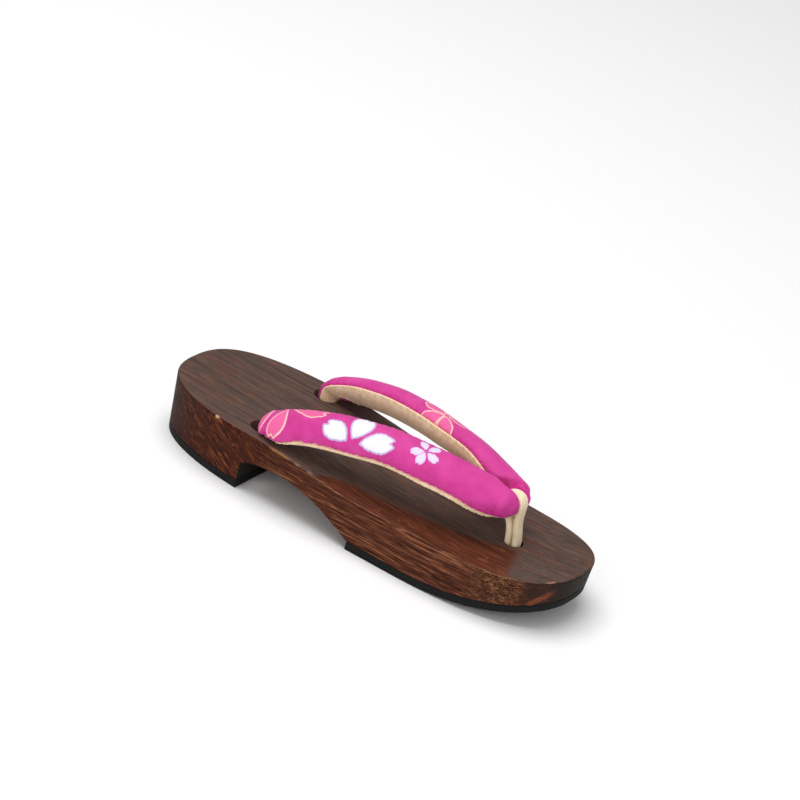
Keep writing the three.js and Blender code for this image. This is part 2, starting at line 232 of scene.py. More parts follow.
def add_node(material, kind, inputs, out=0, stops=(), **settings):
    """Adds a node with its inputs and settings, and gives back one of its outputs. Stops are the places
    and hex colours along a colour ramp."""
    node = material.node_tree.nodes.new(kind)
    for name, value in settings.items():
        setattr(node, name, value)
    if stops:
        elements = node.color_ramp.elements
        while len(elements) < len(stops):
            elements.new(0.5)
        for element, (place, color) in zip(elements, stops):
            element.position = place
            element.color = linear(color)
    feed(material, node, inputs)
    return node.outputs[out]


def new_material(name, color):
    """A material whose shader starts from one colour."""
    material = bpy.data.materials.new(name)
    material.use_nodes = True
    finish(material, {"Base Color": color})
    return material


def finish(material, inputs):
    """Gives the material's shader its last inputs."""
    feed(material, material.node_tree.nodes["Principled BSDF"], inputs)


def smooth_mask(material, *steps):
    """The product of smooth steps. Each is a source, the values at which it starts and ends, and its
    heights at the start and at the end, which are 0 and 1 when they are left out."""
    product = None
    for source, start, end, *heights in steps:
        low, high = heights or (0.0, 1.0)
        step = add_node(material, "ShaderNodeMapRange", {0: source, 1: start, 2: end, 3: low, 4: high},
                        interpolation_type="SMOOTHSTEP")
        if product is None:
            product = step
        else:
            product = add_node(material, MATH, {0: product, 1: step}, operation="MULTIPLY")
    return product


def paint(material, under, over, *steps):
    """Lays one colour over another where all the smooth steps hold."""
    mask = smooth_mask(material, *steps)
    return add_node(material, "ShaderNodeMix", {0: mask, 6: under, 7: over}, out=2, data_type="RGBA")


def grained(material, place, period, detail=4.0, roughness=0.55, distortion=0.0, seed=0.0, lean=0.0):
    """Noise with a period in millimetres along each axis, on Object coordinates in metres. Lean turns
    its grain, in degrees, from the length towards the floor."""
    if lean:
        place = add_node(material, "ShaderNodeVectorRotate", {"Vector": place, "Angle": math.radians(lean)},
                         rotation_type="X_AXIS")
    scale = [1.0 / (p * MM) for p in period]
    shift = (seed, seed * 1.7, seed * 0.6)
    place = add_node(material, "ShaderNodeMapping", {"Vector": place, "Scale": scale, "Location": shift})
    noise = {"Vector": place, "Scale": 1.0, "Detail": detail, "Roughness": roughness}
    noise["Distortion"] = distortion
    return add_node(material, "ShaderNodeTexNoise", noise, out="Fac")


# Curves and meshes
def smooth_step(x, low, high):
    """From 0 to 1 between two values, with a level start and end: three squares less two cubes."""
    t = np.clip((x - low) / (high - low), 0, 1)
    return t * t * (3 - 2 * t)


def smooth_hill(x, start, full, fall, end):
    """Up from start to full and down again from fall to end, by smooth steps."""
    return smooth_step(x, start, full) * (1 - smooth_step(x, fall, end))


def smooth_column(places, values, at):
    """A cubic through the values whose slope at each one is the harmonic mean of the steps beside it, so
    that it never overshoots."""
    steps = np.diff(values) / np.diff(places)
    before = np.concatenate([steps[:1], steps])
    after = np.concatenate([steps, steps[-1:]])
    total = np.where(before + after == 0, 1, before + after)
    slopes = np.where(before * after > 0, 2 * before * after / total, 0)
    i = np.clip(np.searchsorted(places, at, side="right") - 1, 0, len(places) - 2)
    span = places[i + 1] - places[i]
    t = np.clip((at - places[i]) / span, 0, 1)
    rise = smooth_step(t, 0, 1)
    return (values[i] + (values[i + 1] - values[i]) * rise
            + t * (1 - t) ** 2 * slopes[i] * span - t * t * (1 - t) * slopes[i + 1] * span)


def grid_faces(rows, columns, closed=False, start=0):
    """Quads between the points of a grid that is stored row by row. A closed one also joins its last
    column to its first."""
    r = np.arange(rows - 1)
    c = np.arange(columns if closed else columns - 1)
    r, c = np.meshgrid(r, c, indexing="ij")
    here, below = r * columns, (r + 1) * columns
    next_c = (c + 1) % columns
    quads = np.stack([here + c, here + next_c, below + next_c, below + c], -1)
    return quads.reshape(-1, 4) + start


def make_piece(name, points, quads, material, sharp=None, merge=True):
    """Puts points in millimetres and quads into a mesh object at the origin and shades it smooth, with
    edges over the sharp angle kept crisp. Merging joins its doubles and turns its faces out. Without it
    every vertex keeps its place in the list."""
    mesh = bpy.data.meshes.new(name)
    mesh.from_pydata((points * MM).tolist(), [], quads.tolist())
    if merge:
        work = bmesh.new()
        work.from_mesh(mesh)
        bmesh.ops.remove_doubles(work, verts=work.verts, dist=MERGE_WITHIN)
        bmesh.ops.recalc_face_normals(work, faces=work.faces)
        work.to_mesh(mesh)
        work.free()
    mesh.polygons.foreach_set("use_smooth", np.ones(len(mesh.polygons), bool))
    if sharp is not None:
        mesh.set_sharp_from_angle(angle=math.radians(sharp))
    mesh.materials.append(material)
    piece = bpy.data.objects.new(name, mesh)
    bpy.context.collection.objects.link(piece)
    return piece


def read_points(piece):
    """The piece's vertices in millimetres."""
    flat = np.zeros(len(piece.data.vertices) * 3)
    piece.data.vertices.foreach_get("co", flat)
    return flat.reshape(-1, 3) / MM


def store(piece, name, values):
    """Keeps one number for each vertex, for a material to read."""
    layer = piece.data.attributes.new(name, "FLOAT", "POINT")
    layer.data.foreach_set("value", np.asarray(values, np.float32))


def fit_piece(piece, node):
    """Sets the piece on the sandal's one body, in place of its solid."""
    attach(piece, "root")
    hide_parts(node)


# Forms of the base
def ground_height(along):
    """The underside of the sole: flat, then rising as a square to the toe."""
    return TOE_SPRING * (np.clip(along - SPRING_START, 0, None) / (LENGTH - SPRING_START)) ** 2


def top_height(along):
    """The tread: the ball's height, with what is left of the step up to the heel and the toe's lift."""
    share = along / LENGTH
    step = smooth_column(TOP_ALONG, TOP_STEP, share)
    lift = smooth_column(TOP_ALONG, TOP_LIFT, share)
    return BALL_HEIGHT + (HEEL_HEIGHT - BALL_HEIGHT) * step + TOE_SPRING * lift


def arch_roof(along):
    """The wood's underside: the roof of the arch between the blocks, and the rubber's top under them."""
    share = (along - HEEL_BLOCK) / (FORE_BLOCK - HEEL_BLOCK)
    roof = ARCH_HEIGHT * smooth_column(ARCH_ALONG, ARCH_ROOF, share)
    over_rubber = ground_height(along) + RUBBER
    return np.where((share > 0) & (share < 1), roof, over_rubber)


def edge_radius(along):
    """Crisp at both ends, and softly rounded beside the arch and the ball, as a squared half wave."""
    share = np.clip((along / LENGTH - 0.3) / 0.55, 0, 1)
    return CRISP_EDGE + (SOFT_EDGE - CRISP_EDGE) * np.sin(np.pi * share) ** 2


def half_width(along):
    """Half the outline's width: full in the middle, and a superellipse over the round of each end."""
    into = np.clip(1 - np.minimum(along, LENGTH - along) / END_ROUND, 0, 1)
    return WIDTH / 2 * (1 - into ** END_POWER) ** (1 / END_POWER)


def outline_stations(first, last, extra=()):
    """Places along the base that crowd towards its two tips, with the extra ones put in."""
    pitch = 2.5
    angle = np.linspace(0, np.pi / 2, 46)
    into = END_ROUND * (1 - np.cos(angle) ** (2 / END_POWER))
    middle = np.arange(END_ROUND + pitch, LENGTH - END_ROUND - 1, pitch)
    along = np.concatenate([into, middle, LENGTH - into, np.array(extra, float)])
    along = along[(along >= first - 1e-9) & (along <= last + 1e-9)]
    return np.unique(np.round(np.concatenate([along, [first, last]]), 4))


def outline_slope(along):
    """How much the half width grows for each millimetre along."""
    step = 0.01
    low, high = np.clip(along - step, 0, LENGTH), np.clip(along + step, 0, LENGTH)
    return (half_width(high) - half_width(low)) / (high - low)


def base_points(side, along, out, height, inset):
    """Points of the base's wall on one side. The wall leans in towards the floor near both ends, by a
    share of the distance down it, and inset moves a point in along the outline's normal."""
    slope = outline_slope(along)
    size = np.sqrt(1 + slope ** 2)
    out = np.clip(out - inset / size, 0, None)
    moved = along + inset * slope / size
    top, ground = top_height(along), ground_height(along)
    down = 1 - np.clip((height - ground) / (top - ground), 0, 1)
    near_heel = np.clip(1 - along / DRAFT_LENGTH, 0, None)
    near_toe = np.clip(1 - (LENGTH - along) / DRAFT_LENGTH, 0, None)
    narrow = 1 - down * (HEEL_DRAFT * near_heel + TOE_DRAFT * near_toe)
    shift = down * (HEEL_UNDERCUT * near_heel - TOE_UNDERCUT * near_toe)
    x = side * out * narrow
    y = LENGTH / 2 - (moved + shift)
    return np.stack(np.broadcast_arrays(x, y, height), -1)


def slab_mesh(along, under, over, edge_under, edge_over, levels, across):
    """Points and quads of a slab with the base's outline. Its wall rises from under to over in levels,
    with quarter rounds of the given radii at both edges, and strips from side to side close it."""
    quarter = np.radians(np.linspace(0, 90, 7))
    low, high = under(along), over(along)
    heights, insets = [], []
    for angle in quarter:
        heights.append(low + edge_under * (1 - np.sin(angle)))
        insets.append(edge_under * (1 - np.cos(angle)))
    heights, insets = heights[::-1], insets[::-1]
    start, stop = low + edge_under, high - edge_over
    for share in np.linspace(0, 1, levels)[1:-1]:
        heights.append(start + (stop - start) * share)
        insets.append(np.zeros_like(along))
    for angle in quarter:
        heights.append(high - edge_over * (1 - np.sin(angle)))
        insets.append(edge_over * (1 - np.cos(angle)))
    out = half_width(along)
    sides = []
    for side in (-1, 1):
        rings = [base_points(side, along, out, z, inset) for z, inset in zip(heights, insets)]
        sides.append(np.stack(rings))
    walls = np.concatenate([sides[0], sides[1][:, -2:0:-1]], axis=1)
    rows, columns = walls.shape[:2]
    points = [walls.reshape(-1, 3)]
    quads = [grid_faces(rows, columns, closed=True)]
    u = np.linspace(0, 1, across)[None, :, None]
    for level, flip in ((0, False), (-1, True)):
        cap = sides[0][level][:, None] * (1 - u) + sides[1][level][:, None] * u
        faces = grid_faces(len(along), across, start=sum(len(p) for p in points))
        quads.append(faces[:, ::-1] if flip else faces)
        points.append(cap.reshape(-1, 3))
    return np.concatenate(points), np.concatenate(quads)


def drill(piece, start, end, radius):
    """Cuts a round hole between two points in millimetres through the piece."""
    axis = end - start
    turn = Vector(axis).to_track_quat("Z", "Y").to_matrix().to_4x4()
    place = Matrix.Translation(Vector((start + end) / 2 * MM)) @ turn
    depth = float(np.linalg.norm(axis)) * MM
    work = bmesh.new()
    bmesh.ops.create_cone(work, cap_ends=True, segments=72, radius1=radius * MM, radius2=radius * MM,
                          depth=depth, matrix=place)
    mesh = bpy.data.meshes.new("drill")
    work.to_mesh(mesh)
    work.free()
    bit = bpy.data.objects.new("drill", mesh)
    bpy.context.collection.objects.link(bit)
    cut = piece.modifiers.new("hole", "BOOLEAN")
    cut.operation = "DIFFERENCE"
    cut.solver = "EXACT"
    cut.object = bit
    bpy.context.view_layer.objects.active = piece
    bpy.ops.object.modifier_apply(modifier=cut.name)
    bpy.data.objects.remove(bit)
    bpy.data.meshes.remove(mesh)


def carve_base():
    """The wooden base, with its arch and three drilled holes. The block's inner face is one narrow strip,
    and each bit starts over the tread and goes on past the wood."""
    jump = 0.25
    along = outline_stations(0, LENGTH, (HEEL_BLOCK - jump, HEEL_BLOCK + jump, FORE_BLOCK))
    edge_under = np.full(along.shape, EASED_EDGE)
    points, quads = slab_mesh(along, arch_roof, top_height, edge_under, edge_radius(along), 16, 40)
    piece = make_piece("wooden_base", points, quads, burnt_wood(), sharp=CARVED_ANGLE)
    roof = ARCH_HEIGHT * ARCH_ROOF[0]
    for side in (-1, 1):
        mouth = np.array([side * REAR_HOLE_OUT, LENGTH / 2 - REAR_HOLE_ALONG, HEEL_HEIGHT])
        way = np.array([0, -REAR_HOLE_LEAN, roof - HEEL_HEIGHT])
        drill(piece, mouth - 0.5 * way, mouth + 1.6 * way, REAR_HOLE_RADIUS)
    middle = LENGTH / 2 - FRONT_HOLE_ALONG
    floor = float(ground_height(np.array(FRONT_HOLE_ALONG)))
    drill(piece, np.array([0, middle, floor]), np.array([0, middle, HEEL_HEIGHT + 12]), FRONT_HOLE_RADIUS)
    mark_wood(piece)
    fit_piece(piece, "wood_base")


# Worn spots on the near rim: place along, half length, strength and place over the rim's middle
RIM_WEAR = (
    (44.6, 1.5, 1.0, 0.5),
    (55.5, 1.1, 0.7, 0.5),
    (80.0, 4.0, 0.8, 0.5),
    (87.0, 4.0, 0.9, 0.5),
    (95.0, 2.2, 0.8, 0.5),
    (102.5, 3.0, 0.8, 0.5),
    (111.0, 3.0, 0.7, 0.5),
    (233.8, 1.9, 0.9, -1.0),
)

# How far the red heartwood reaches in from the near rim, by place along, and where it ends
HEARTWOOD = np.array([
    [104, 0],
    [111, 7],
    [120, 12],
    [135, 14.8],
    [157, 19.8],
    [167, 23.1],
    [200, 32.8],
    [240, 33],
])
HEARTWOOD_END = 217.5
HEARTWOOD_SLANT = 0.31

# Where the near shoulder turns from the tread to the side: its depth less its distance from the outline
SHOULDER = np.array([
    [0, 0],
    [60, 0.2],
    [78, 0.6],
    [91, 1.0],
    [122, 1.6],
    [140, 0.4],
    [154, -0.7],
    [185, -2.6],
    [205, -1.8],
    [216, -0.7],
    [240, 0],
])
FAR_SHOULDER = 0.3
CHIP_SPREAD = 1.2


def mark_wood(piece):
    """Keeps what the wood's material reads at each vertex, in millimetres: the depth below the tread,
    the place along, how far it lies past the shoulder's ridge, how deep it is in the heartwood, the
    strength of the worn spots and the distance from the nearest drilled hole's wall. The rim is the
    depth less the distance from the outline, so it is 0 at the middle of the rounded edge."""
    x, y, z = read_points(piece).T
    along = np.clip(LENGTH / 2 - y, 0, LENGTH)
    depth = top_height(along) - z
    near = half_width(along) + x
    inset = (half_width(along) - np.abs(x)) / np.sqrt(1 + outline_slope(along) ** 2)
    rim = depth - inset
    turn = np.where(x < 0, np.interp(along, SHOULDER[:, 0], SHOULDER[:, 1]), FAR_SHOULDER)
    reach = np.interp(along, HEARTWOOD[:, 0], HEARTWOOD[:, 1]) - near
    ahead = HEARTWOOD_END - HEARTWOOD_SLANT * near - along
    wear = np.zeros(len(x))
    for place, length, strength, middle in RIM_WEAR:
        wear += strength * np.exp(-((along - place) / length) ** 2 - ((rim - middle) / CHIP_SPREAD) ** 2)
    rear = np.hypot(np.abs(x) - REAR_HOLE_OUT, along - rear_hole_along(z)) - REAR_HOLE_RADIUS
    front = np.hypot(x, along - FRONT_HOLE_ALONG) - FRONT_HOLE_RADIUS
    store(piece, "depth", depth)
    store(piece, "along", along)
    store(piece, "past_ridge", rim - turn)
    store(piece, "heartwood", np.minimum(reach, 0.8 * ahead))
    store(piece, "wear", wear * ((x < 0) & (along < 237)))
    store(piece, "bore", np.minimum(rear, front))


def rear_hole_along(height):
    """The place along of a rear hole's axis at a height, from its lean on the way down to the arch."""
    drop = HEEL_HEIGHT - ARCH_HEIGHT * ARCH_ROOF[0]
    return REAR_HOLE_ALONG + (HEEL_HEIGHT - height) * REAR_HOLE_LEAN / drop


def mould_outsole(name, node, first, last, material):
    """A rubber outsole with the base's outline, from one place along to another, with eased edges."""
    def upper_face(along):
        return ground_height(along) + RUBBER - GLUE_GAP

    along = outline_stations(first, last)
    edge_under = np.full(along.shape, RUBBER_EDGE)
    edge_over = np.full(along.shape, GLUE_GAP)
    points, quads = slab_mesh(along, ground_height, upper_face, edge_under, edge_over, 5, 26)
    piece = make_piece(name, points, quads, material, sharp=CARVED_ANGLE)
    fit_piece(piece, node)


# Forms of the strap
def strap_columns(t):
    """The columns of the strap's table at row numbers t."""
    places = np.arange(len(STRAP_ROWS), dtype=float)
    return {name: smooth_column(places, STRAP_ROWS[:, i], t) for i, name in enumerate(STRAP_COLUMNS)}


def strap_line(t):
    """The middle line of the +X arm at row numbers t, in millimetres."""
    c = strap_columns(t)
    along = REAR_HOLE_ALONG + c["along"] * (STRAP_FRONT - REAR_HOLE_ALONG)
    height = top_height(along) + c["up"] * STRAP_RISE
    return np.stack([c["out"] * REAR_HOLE_OUT, LENGTH / 2 - along, height], -1)


def strap_frames(count):
    """Stations at even steps along the arm, with the directions of the section's width and thickness."""
    fine = np.linspace(0, len(STRAP_ROWS) - 1, 4000)
    steps = np.linalg.norm(np.diff(strap_line(fine), axis=0), axis=1)
    run = np.concatenate([[0], np.cumsum(steps)])
    even = np.linspace(0, run[-1], count)
    t = np.interp(even, run, fine)
    centre = strap_line(t)
    forward = np.gradient(centre, axis=0)
    forward /= np.linalg.norm(forward, axis=1, keepdims=True)
    c = strap_columns(t)
    turn, tilt = np.radians(c["turn"]), np.radians(c["tilt"])
    outward = np.stack([np.cos(turn), -np.sin(turn), 0 * turn], -1)
    outward -= forward * (outward * forward).sum(1, keepdims=True)
    outward /= np.linalg.norm(outward, axis=1, keepdims=True)
    upward = np.cross(forward, outward)
    across = np.cos(tilt)[:, None] * outward - np.sin(tilt)[:, None] * upward
    through = np.sin(tilt)[:, None] * outward + np.cos(tilt)[:, None] * upward
    return {
        "run": even,
        "centre": centre,
        "across": across,
        "through": through,
        "wide": c["wide"] * STRAP_WIDTH / 2,
        "thick": c["thick"] * STRAP_THICKNESS / 2,
        "seam": c["seam"],
    }


# Soft troughs and ridges of the cover: run and round are millimetres along the arm and round
# it from the crest towards the outer edge, long and wide their half sizes, lean in degrees and depth in
# millimetres, below zero for a ridge. Side 1 is the +X arm.
CREASES = (
    {"side": -1, "run": 21.4, "round": 10, "long": 7, "wide": 0.9, "lean": 95, "depth": 1.0},
    {"side": -1, "run": 39, "round": 15, "long": 6, "wide": 1.7, "lean": 86, "depth": 1.0},
    {"side": -1, "run": 43.5, "round": 13, "long": 6, "wide": 1.6, "lean": 82, "depth": -0.4},
    {"side": -1, "run": 48, "round": 15, "long": 5, "wide": 1.8, "lean": 84, "depth": 0.8},
    {"side": -1, "run": 55, "round": 17, "long": 5, "wide": 2.0, "lean": 80, "depth": 0.7},
    {"side": -1, "run": 79, "round": 9, "long": 7, "wide": 2.4, "lean": 85, "depth": 0.4},
    {"side": -1, "run": 88, "round": 10, "long": 5, "wide": 2.0, "lean": 80, "depth": 0.3},
    {"side": 1, "run": 26, "round": 6, "long": 7, "wide": 2.0, "lean": 85, "depth": 0.45},
    {"side": 1, "run": 52, "round": 8, "long": 6, "wide": 2.2, "lean": 80, "depth": 0.35},
    {"side": 1, "run": 70, "round": -6, "long": 5, "wide": 1.8, "lean": 95, "depth": 0.3},
    {"side": 1, "run": 13, "round": 5, "long": 9, "wide": 1.6, "lean": 40, "depth": 0.6},
)


def pull_at_thong(points, side):
    """Draws an arm in at the front thong, as if it were the +X one. Both arms meet at the middle inside
    the thong's loop, pass its rear strand on each side of it, and stay inside the loop's opening where
    the band covers them. A point past a limit comes back to it by an exponential, over a soft knee."""
    x, y, z = points[..., 0], points[..., 1], points[..., 2]
    along = LENGTH / 2 - y
    clear = THONG_WIDTH / 2 + 0.35
    least = 0.06 + clear * smooth_hill(along, 180.5, 186.8, 189.2, 190.6)
    roll = 1.6 * smooth_step(along, 150, 170)
    past = np.minimum(x - least - roll, 0)
    x = np.where(x > least + roll, x, least + roll * np.exp(past / np.maximum(roll, 0.01)))
    dimple = np.exp(-((along - 189) / 5.5) ** 2 - ((x - 2.5) / 3.4) ** 2) * smooth_step(z, 44, 48)
    z = z - (1.6 if side > 0 else 0) * dimple
    tilt = math.radians(OPENING_TILT)
    a, b = along - OPENING_ALONG, z - OPENING_HEIGHT
    short = a * math.cos(tilt) + b * math.sin(tilt)
    tall = -a * math.sin(tilt) + b * math.cos(tilt)
    room = 0.3
    reach = np.sqrt((short / (OPENING_HALF_LENGTH - room)) ** 2 + (tall / (OPENING_HALF_HEIGHT - room)) ** 2)
    beside = np.clip((x - clear) / 3.2, 0, None)
    limit = 1 + 2.7 * np.sqrt(beside) + 1.4 * beside ** 2
    held = smooth_step(along, 187.6, 189.8)
    knee = 0.18 * limit
    past = np.maximum(reach - limit + knee, 0)
    drawn = np.where(past > 0, limit - knee * np.exp(-past / knee), reach)
    scale = 1 + held * (drawn / np.maximum(reach, 1e-6) - 1)
    short, tall = short * scale, tall * scale
    along = OPENING_ALONG + short * math.cos(tilt) - tall * math.sin(tilt)
    z = OPENING_HEIGHT + short * math.sin(tilt) + tall * math.cos(tilt)
    return np.stack([x, LENGTH / 2 - along, z], -1)


# Waves along the seams, in millimetres: of the gathers, of the stitches and of the cover's small bites
GATHER_PITCH = 4.3
STITCH_PITCH = 1.9
BITE_PITCH = 2.3


def seam_angles(frames, side, girth):
    """Angles of the outer and the inner seam round the section, counted from its outer tip up over the
    crest. The cover wraps under the outer edge at both ends of an arm, and further under it behind the
    +X arm's rear bend, and the stitches pull it back in small bites."""
    run, end = frames["run"][:, None], frames["run"][-1]
    wrap = 0.5 * (1 - smooth_step(run, 25, 37))
    wrap = wrap + 0.25 * smooth_step(run, end - 30, end - 16) + 0.12 * smooth_step(run, end - 12, end - 4)
    outer = np.arcsin(np.clip(frames["seam"][:, None] - wrap, -0.95, 0.95))
    if side > 0:
        outer = outer - math.radians(84) * smooth_hill(run, 15, 21, 31, 40)
    bites = 0.3 * np.abs(np.sin(np.pi * run / BITE_PITCH + 0.3 * np.sin(run / 3.1))) / girth
    bites = bites * smooth_hill(run, 22, 30, end - 16, end - 8)
    return outer + bites, math.pi - np.arcsin(frames["seam"])[:, None] - bites


def crease_depth(run, crest, side):
    """Depth of an arm's creases, each a bell round a slanting line."""
    depth = 0
    for crease in CREASES:
        if crease["side"] == side:
            lean = math.radians(crease["lean"])
            u, v = run - crease["run"], crest - crease["round"]
            longways = (u * math.cos(lean) + v * math.sin(lean)) / crease["long"]
            sideways = (-u * math.sin(lean) + v * math.cos(lean)) / crease["wide"]
            depth = depth + crease["depth"] * np.exp(-longways ** 2 - sideways ** 2)
    return depth


def cloth_swell(frames, side, above, edge, crest, outside):
    """How far the cloth stands out from the plain section. Edge is the distance from the nearest seam,
    crest the distance round from the crest, and outside says which seam is nearest. Bells of the edge
    distance sink the seams and raise the puckers beside them or the lining's scalloped lip. The -X arm
    is a little slimmer at its rear and fuller along its outer seam near the front."""
    run, end = frames["run"][:, None], frames["run"][-1]
    phase = np.where(outside, 0.0, 1.7) + 0.4 * side
    wave = np.sin(2 * np.pi * run / GATHER_PITCH + 0.9 * np.sin(run / 7.0) + phase)
    stitch = np.sin(2 * np.pi * run / STITCH_PITCH + np.where(outside, 0.0, 0.8))
    live = smooth_hill(run, 6, 16, end - 14, end - 4)
    slim = 1.3 * smooth_hill(run, 3, 9, 20, 29) * (side < 0)
    full = smooth_hill(run, 88, 112, end - 14, end - 4) * (side < 0) * outside
    if above:
        swell = -0.55 * np.exp(-edge / 0.9) - live * 0.28 * (1 + wave) * np.exp(-edge / 2.2)
        swell += live * 0.16 * wave * np.exp(-((edge - 3.2) / 2.4) ** 2)
        return swell + 0.6 * full * np.exp(-(edge / 4.0) ** 2) - slim - crease_depth(run, crest, side)
    lip = 0.32 + 0.14 * wave + 0.18 * stitch
    swell = live * lip * np.exp(-((edge - 0.8) / 0.9) ** 2) - 0.3 * np.exp(-edge / 0.4)
    return swell + 1.3 * full * np.exp(-((edge - 1.6) / 1.8) ** 2) - slim


def strap_grid(side, above, steps):
    """One arm's cover or lining. Each section is the part of an ellipse above or below the two seams,
    pushed out by the cloth's swell and closed by the chord between the seams."""
    frames = strap_frames(STATIONS)
    wide, thick = frames["wide"][:, None], frames["thick"][:, None]
    girth = 0.5 * (wide + thick)
    outer, inner = seam_angles(frames, side, girth)
    first, last = (outer, inner) if above else (inner, outer + 2 * math.pi)
    share = np.linspace(0, 1, steps)[None, :]
    angle = first + share * (last - first)
    edge = np.minimum(share, 1 - share) * (last - first) * girth
    outside = share < 0.5 if above else share > 0.5
    swell = cloth_swell(frames, side, above, edge, (math.pi / 2 - angle) * girth, outside)
    spread, level = np.cos(angle) * wide, np.sin(angle) * thick
    start, stop = spread[:, :1].copy(), spread[:, -1:].copy()
    low, high = level[:, :1].copy(), level[:, -1:].copy()
    unit = np.stack([np.cos(angle) / wide, np.sin(angle) / thick], -1)
    unit /= np.linalg.norm(unit, axis=-1, keepdims=True)
    spread = spread + unit[..., 0] * swell
    level = level + unit[..., 1] * swell
    gap = SEAM_GAP / 2 if above else -SEAM_GAP / 2
    chord = low + (high - low) * np.clip((spread - start) / (stop - start), 0, 1) + gap
    level = np.maximum(level, chord) if above else np.minimum(level, chord)
    back = np.linspace(0, 1, 8)[None, 1:-1]
    spread = np.concatenate([spread, stop + (start - stop) * back], 1)
    level = np.concatenate([level, high + (low - high) * back + gap], 1)
    centre, across, through = frames["centre"], frames["across"], frames["through"]
    points = centre[:, None] + spread[..., None] * across[:, None] + level[..., None] * through[:, None]
    hub = centre[-1] + (start[-1] + stop[-1]) / 2 * across[-1] + (low[-1] + high[-1]) / 2 * through[-1]
    points = np.concatenate([points, dome_rings(points[-1], hub, centre[-1] - centre[-2])])
    points = rest_on_wood(pull_at_thong(points, side))
    if side > 0 and above:
        points = fold_at_thong(points)
    points[..., 0] *= side
    return points, np.concatenate([frames["run"], np.full(DOME_STEPS, frames["run"][-1])])


# Rounded front end of each arm
DOME_STEPS = 6
DOME_DEPTH = 0.7


def dome_rings(ring, hub, forward):
    """Rings that close an arm's end with a quarter round: each is the last ring, drawn in towards the
    middle of the seams by a cosine and moved forward by a sine."""
    forward = forward / np.linalg.norm(forward)
    angles = np.radians(np.linspace(0, 84, DOME_STEPS + 1)[1:])
    return np.stack([hub + (ring - hub) * math.cos(a) + forward * DOME_DEPTH * math.sin(a) for a in angles])


# Line of the sharp fold beside the thong's band on the +X arm: place along and out
FOLD_LINE = np.array([[187.4, 3.0], [188.9, 4.6], [190.6, 6.9], [193.2, 7.4], [196.3, 6.3], [198.2, 4.6]])


def fold_at_thong(points):
    """The fold that the thong pulls into the +X arm's end: a sharp trough round the band, and a pocket
    between the trough and the band."""
    x, along, z = points[..., 0], LENGTH / 2 - points[..., 1], points[..., 2]
    away = np.full(x.shape, 50.0)
    for start, end in zip(FOLD_LINE[:-1], FOLD_LINE[1:]):
        step = end - start
        ahead, aside = along - start[0], x - start[1]
        share = np.clip((ahead * step[0] + aside * step[1]) / (step @ step), 0, 1)
        away = np.minimum(away, np.hypot(ahead - share * step[0], aside - share * step[1]))
    pocket = np.exp(-((along - 190.2) / 1.9) ** 2 - ((x - 5.2) / 1.8) ** 2)
    points[..., 2] = z - smooth_step(z, 44, 47.5) * (1.8 * np.exp(-(away / 0.75) ** 2) + 2.8 * pocket)
    return points


def rest_on_wood(points):
    """Keeps the strap clear of the wood: a point under the top face, outside the rear hole, is raised to
    just above it."""
    x, along, z = points[..., 0], LENGTH / 2 - points[..., 1], points[..., 2]
    away = np.hypot(x - REAR_HOLE_OUT, along - rear_hole_along(z))
    outside = smooth_step(away, REAR_HOLE_RADIUS - 0.6, REAR_HOLE_RADIUS - 0.2)
    raised = np.maximum(z, top_height(along) + 0.25)
    points[..., 2] = z + outside * (raised - z)
    return points


def arm_quads(points, flip, start):
    """Quads round a closed arm, with a fan of quads over each end."""
    rows, columns = points.shape[:2]
    quads = [grid_faces(rows, columns, closed=True)]
    half = np.arange(columns // 2 - 1)
    for row in (0, rows - 1):
        first = row * columns
        quads.append(np.stack([first + half, first + half + 1, first + columns - 2 - half,
                               first + columns - 1 - half], -1))
    quads = np.concatenate(quads) + start
    return quads[:, ::-1] if flip else quads


# Millimetres from the prints where there are none, and about how far apart the points round an arm lie
OFF_PRINT = -50.0
AROUND_STEP = 0.5

# Printed blossoms. Run and round give the middle, in millimetres along the arm and round it from the
# crest towards the outer edge. Each petal is a direction in degrees, from the toe towards the outer
# edge, the distances of its foot and its tip from the middle, and its half width.
BLOSSOMS = (
    {"layer": "white_print", "side": -1, "run": 66.1, "round": 15.2,
     "petals": ((-148.9, 1.8, 17.4, 5.7), (-75, 2.7, 21.0, 5.8), (-17.4, 4.6, 23.4, 5.7))},
    {"layer": "lilac_print", "side": -1, "run": 102.8, "round": 5.1,
     "petals": ((25.6, 0.9, 8.3, 2.4), (97.8, 0.9, 8.6, 2.4), (155, 0.9, 8.3, 2.3), (-124, 0.9, 8.4, 2.2),
                (-50, 0.9, 8.5, 2.2))},
    {"layer": "coral_print", "side": -1, "run": 29.3, "round": -2.5,
     "petals": ((98.6, 1.5, 21.8, 4.4), (8.4, 3.0, 22.6, 5.4), (-66, 2.0, 19.0, 5.0))},
    {"layer": "coral_print", "side": -1, "run": 17.6, "round": -2.0, "petals": ((92, 0.0, 19.5, 3.3),)},
    {"layer": "coral_print", "side": 1, "run": 90.3, "round": 1.5,
     "petals": ((171, 0.9, 15.0, 4.8), (-117, 0.9, 16.5, 4.6), (-54, 0.9, 17.5, 4.8), (27, 0.9, 15.6, 4.2),
                (98, 0.9, 16.0, 4.6))},
)


def petal_level(u, v, petal):
    """Above zero inside one petal. Its half width is a power of the sine of the way from its pointed foot
    to its tip, which has a small notch."""
    angle, foot, tip, half = petal
    turn = math.radians(angle)
    out = u * math.cos(turn) + v * math.sin(turn)
    off = np.abs(-u * math.sin(turn) + v * math.cos(turn))
    way = np.clip((out - foot) / (tip - foot), 0, 1)
    body = half * np.sin(np.pi * way ** 1.2) ** 0.66 - off
    notch = tip * (1 - 0.12 * np.clip(1 - off / (0.1 * tip), 0, 1)) - out
    return np.minimum(body, notch)


